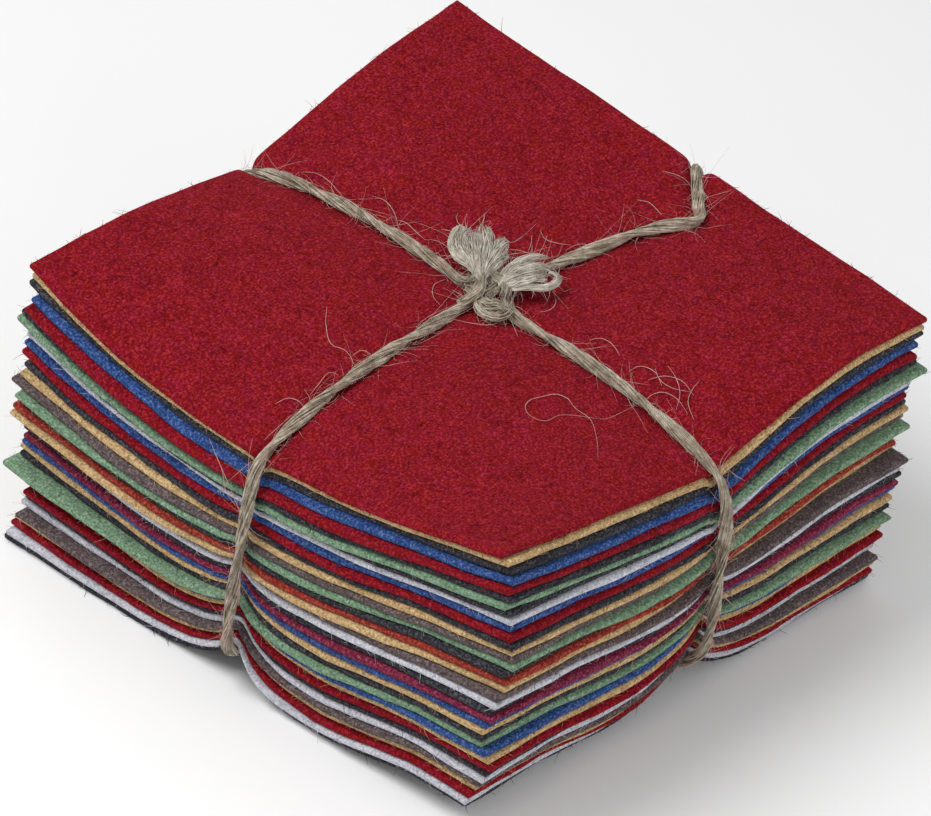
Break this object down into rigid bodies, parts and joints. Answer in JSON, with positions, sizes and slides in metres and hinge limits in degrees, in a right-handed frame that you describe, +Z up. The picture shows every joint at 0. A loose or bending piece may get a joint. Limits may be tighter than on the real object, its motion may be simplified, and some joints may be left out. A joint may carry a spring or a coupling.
{
  "type": "stack of felt squares",
  "caption": "Square sheets of wool felt in mixed colours, stacked and tied crosswise with jute twine that presses a dip into the top and ends in a small knot.",
  "frame": {"origin": "on the floor, under the middle of the whole stack's outline", "axes": "+Z up through the sheets, +X and +Y along the squares' sides and along the two runs of twine"},
  "size_m": [0.1396, 0.1378, 0.0788],
  "materials": {
    "felt_red": "heathered wool felt",
    "felt_gold": "heathered wool felt",
    "felt_charcoal": "heathered wool felt",
    "felt_blue": "heathered wool felt",
    "felt_sage": "heathered wool felt",
    "felt_white": "heathered wool felt",
    "felt_taupe": "heathered wool felt",
    "felt_rust": "heathered wool felt",
    "felt_crimson": "heathered wool felt",
    "jute": "two-ply jute twine"
  },
  "bodies": {
    "root": {"felt_01_red": "felt_red", "felt_02_gold": "felt_gold", "felt_03_charcoal": "felt_charcoal", "felt_04_blue": "felt_blue", "felt_05_red": "felt_red", "felt_06_charcoal": "felt_charcoal", "felt_07_sage": "felt_sage", "felt_08_charcoal": "felt_charcoal", "felt_09_white": "felt_white", "felt_10_blue": "felt_blue", "felt_11_red": "felt_red", "felt_12_charcoal": "felt_charcoal", "felt_13_gold": "felt_gold", "felt_14_taupe": "felt_taupe", "felt_15_sage": "felt_sage", "felt_16_charcoal": "felt_charcoal", "felt_17_rust": "felt_rust", "felt_18_gold": "felt_gold", "felt_19_taupe": "felt_taupe", "felt_20_white": "felt_white", "felt_21_charcoal": "felt_charcoal", "felt_22_crimson": "felt_crimson", "felt_23_blue": "felt_blue", "felt_24_gold": "felt_gold", "felt_25_charcoal": "felt_charcoal", "felt_26_sage": "felt_sage", "felt_27_blue": "felt_blue", "felt_28_gold": "felt_gold", "felt_29_red": "felt_red", "felt_30_charcoal": "felt_charcoal", "felt_31_white": "felt_white", "felt_32_taupe": "felt_taupe", "felt_33_gold": "felt_gold", "felt_34_red": "felt_red", "felt_35_white": "felt_white", "felt_36_charcoal": "felt_charcoal", "twine_along_x": "jute", "twine_along_y": "jute", "knot": "jute", "frayed_end_left": "jute", "frayed_end_right": "jute"}
  },
  "joints": []
}
